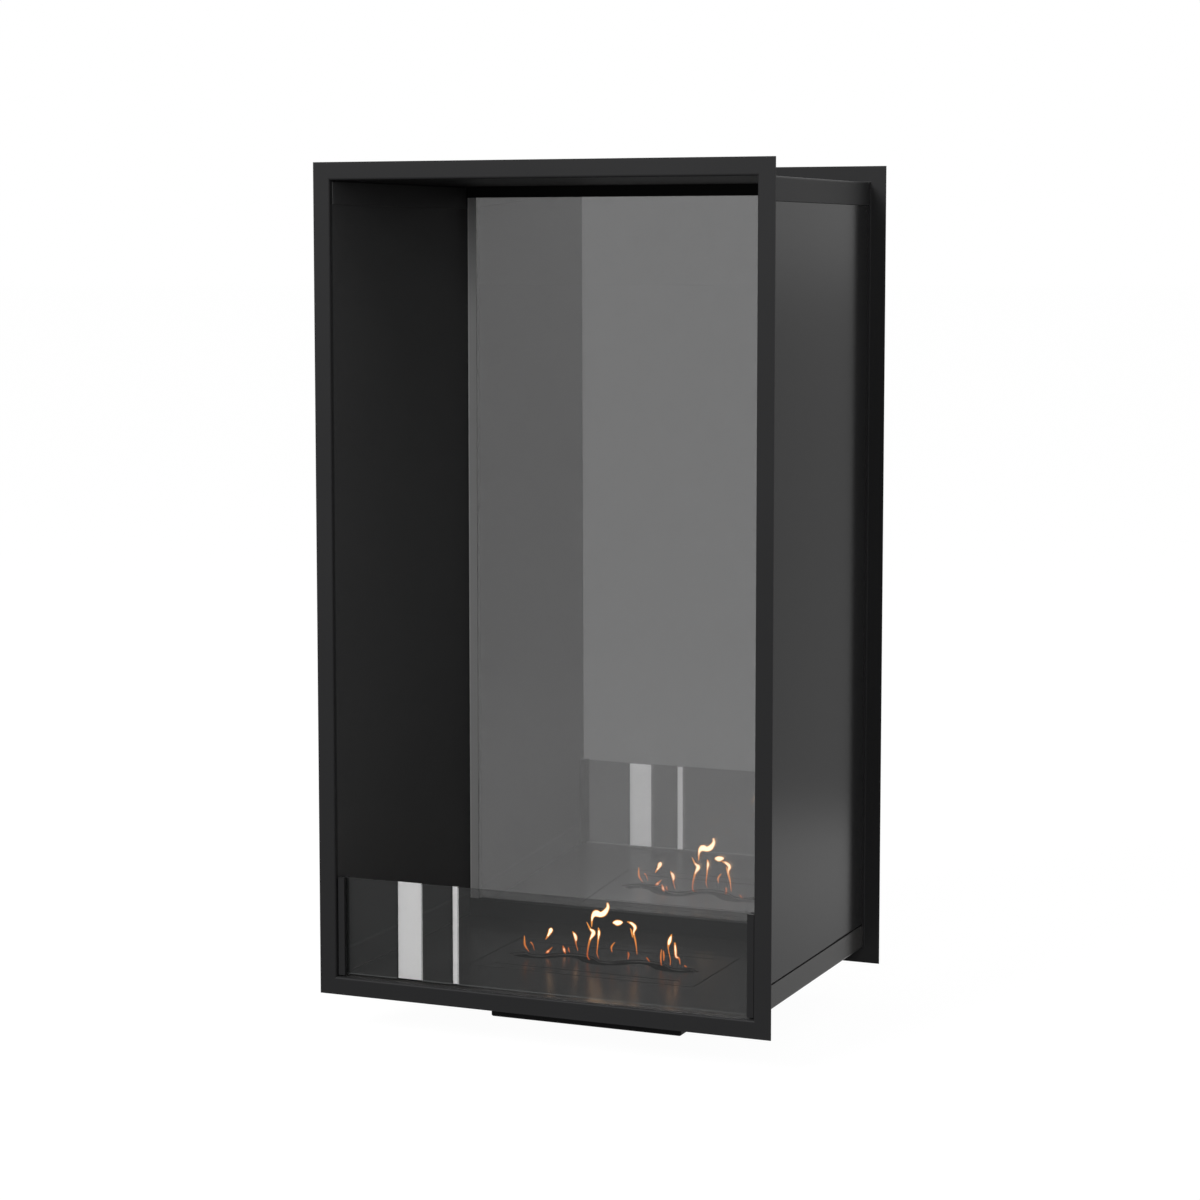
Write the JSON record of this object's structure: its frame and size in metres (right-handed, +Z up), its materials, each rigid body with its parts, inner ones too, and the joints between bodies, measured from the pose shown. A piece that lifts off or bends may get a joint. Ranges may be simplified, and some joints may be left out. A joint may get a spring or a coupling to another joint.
{
  "type": "double-sided fireplace",
  "caption": "Tall see-through ethanol fireplace insert: black steel box with flange frames, low loose glass, grey rear pane and a drop-in burner with a wavy flame slot.",
  "frame": {"origin": "middle of the bounding box's lower face, the underside of the burner tank", "axes": "+X to the right seen from the front, +Y from the front face to the rear face, +Z up"},
  "size_m": [0.637, 0.447, 1.15],
  "materials": {
    "powder_black": "satin black powder coat",
    "burner_black": "semi-gloss heat-resistant black",
    "burner_steel": "brushed stainless",
    "screw_black": "blackened",
    "zinc_steel": "zinc plated",
    "clear_glass": "clear, polished edges",
    "grey_glass": "grey tinted, reflective",
    "pale_band": "matt pale grey",
    "seal_rubber": "matt",
    "ceramic_wool": "fibrous"
  },
  "bodies": {
    "firebox": {"front_frame": "powder_black", "rear_frame": "powder_black", "rear_frame_screws": "screw_black", "floor_pan": "powder_black", "top_pan": "powder_black", "side_panel_left": "powder_black", "side_panel_right": "powder_black", "burner_ledge": "powder_black", "glass_holder_left": "powder_black", "glass_holder_right": "powder_black", "holder_screws": "screw_black", "glass_rest_pads": "seal_rubber", "rear_glass": "grey_glass", "rear_glass_top_rail": "powder_black", "rear_glass_bottom_rail": "powder_black", "top_rail_seals": "seal_rubber", "bottom_rail_seals": "seal_rubber", "setting_blocks": "seal_rubber", "top_rail_screws": "screw_black", "bottom_rail_screws": "screw_black"},
    "burner": {"burner_plate": "burner_black", "shutter_guides": "burner_steel", "burner_tank": "burner_black", "rim_nuts": "zinc_steel", "wick_pad": "ceramic_wool", "wick_grid": "burner_steel"},
    "shutter": {"burner_shutter": "burner_steel"},
    "front_glass": {"front_glass": "clear_glass", "glass_band_wide": "pale_band", "glass_band_narrow": "pale_band"}
  },
  "joints": [
    {"name": "burner_lift", "type": "slide", "parent": "firebox", "child": "burner", "axis": [0, 0, 1], "range_m": [0, 0.12]},
    {"name": "shutter_slide", "type": "slide", "parent": "burner", "child": "shutter", "axis": [0, 1, 0], "range_m": [0, 0.03]},
    {"name": "front_glass_lift", "type": "slide", "parent": "firebox", "child": "front_glass", "axis": [0, 0, 1], "range_m": [0, 0.14]}
  ]
}
